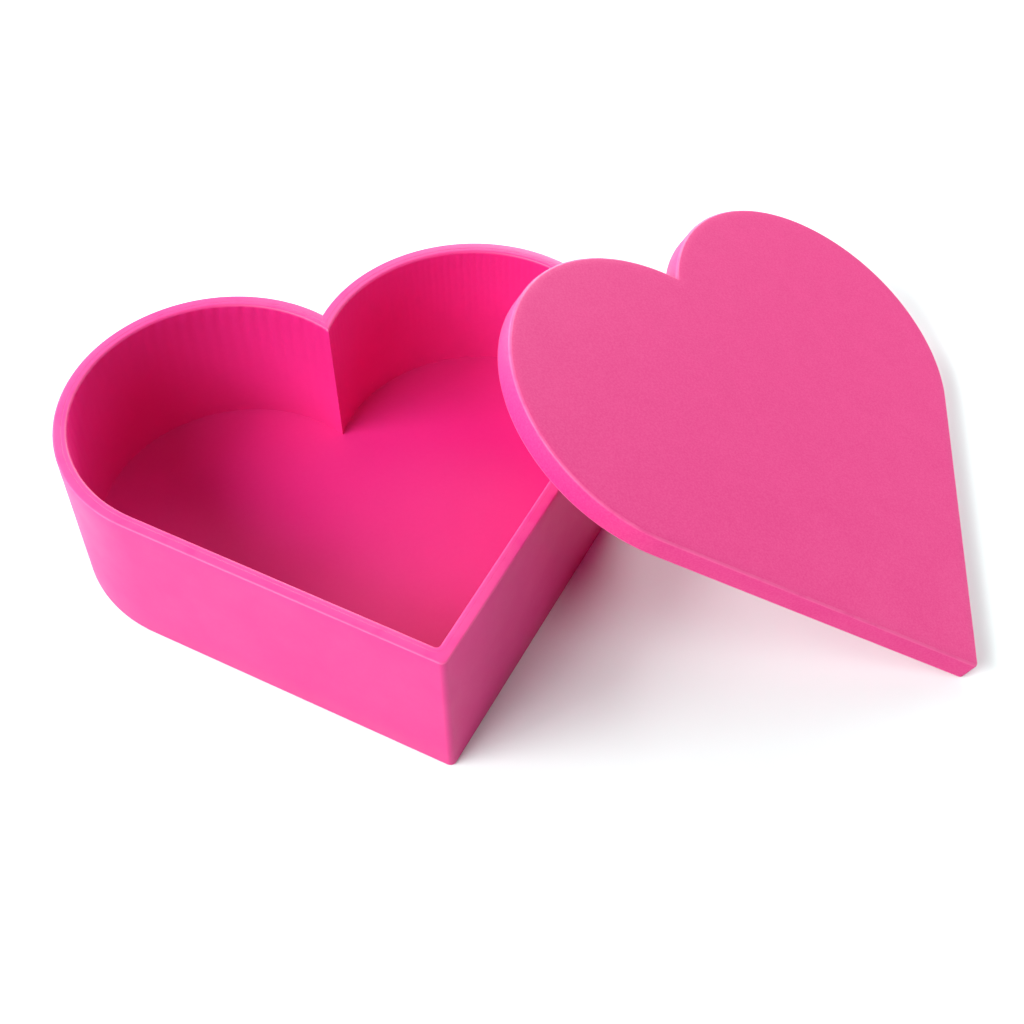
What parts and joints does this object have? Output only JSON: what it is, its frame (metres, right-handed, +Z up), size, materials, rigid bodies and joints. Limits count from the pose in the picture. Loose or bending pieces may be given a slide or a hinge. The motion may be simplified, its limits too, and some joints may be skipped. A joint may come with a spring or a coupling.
{
  "type": "heart-shaped keepsake box",
  "caption": "Open heart-shaped tray with thin upright walls, and a loose heart-shaped plate lid with a shallow plug underneath, shown leaning on the tray's rim.",
  "frame": {"origin": "on the tray's flat underside, on its line of symmetry, midway between its tip and the ends of its lobes", "axes": "+Z up; +Y from the tray's tip to its notch; +X to the side the lid leans on"},
  "size_m": [0.1485, 0.0912, 0.044],
  "materials": {
    "tray_plastic": "smooth matte, softly worn edges",
    "lid_plastic": "matte with a fine grain on the top face"
  },
  "bodies": {
    "tray": {"tray": "tray_plastic"},
    "lid": {"lid": "lid_plastic"}
  },
  "joints": [
    {"name": "lid_lift", "type": "slide", "parent": "tray", "child": "lid", "axis": [0, 0, 1], "range_m": [0, 0.06]}
  ]
}
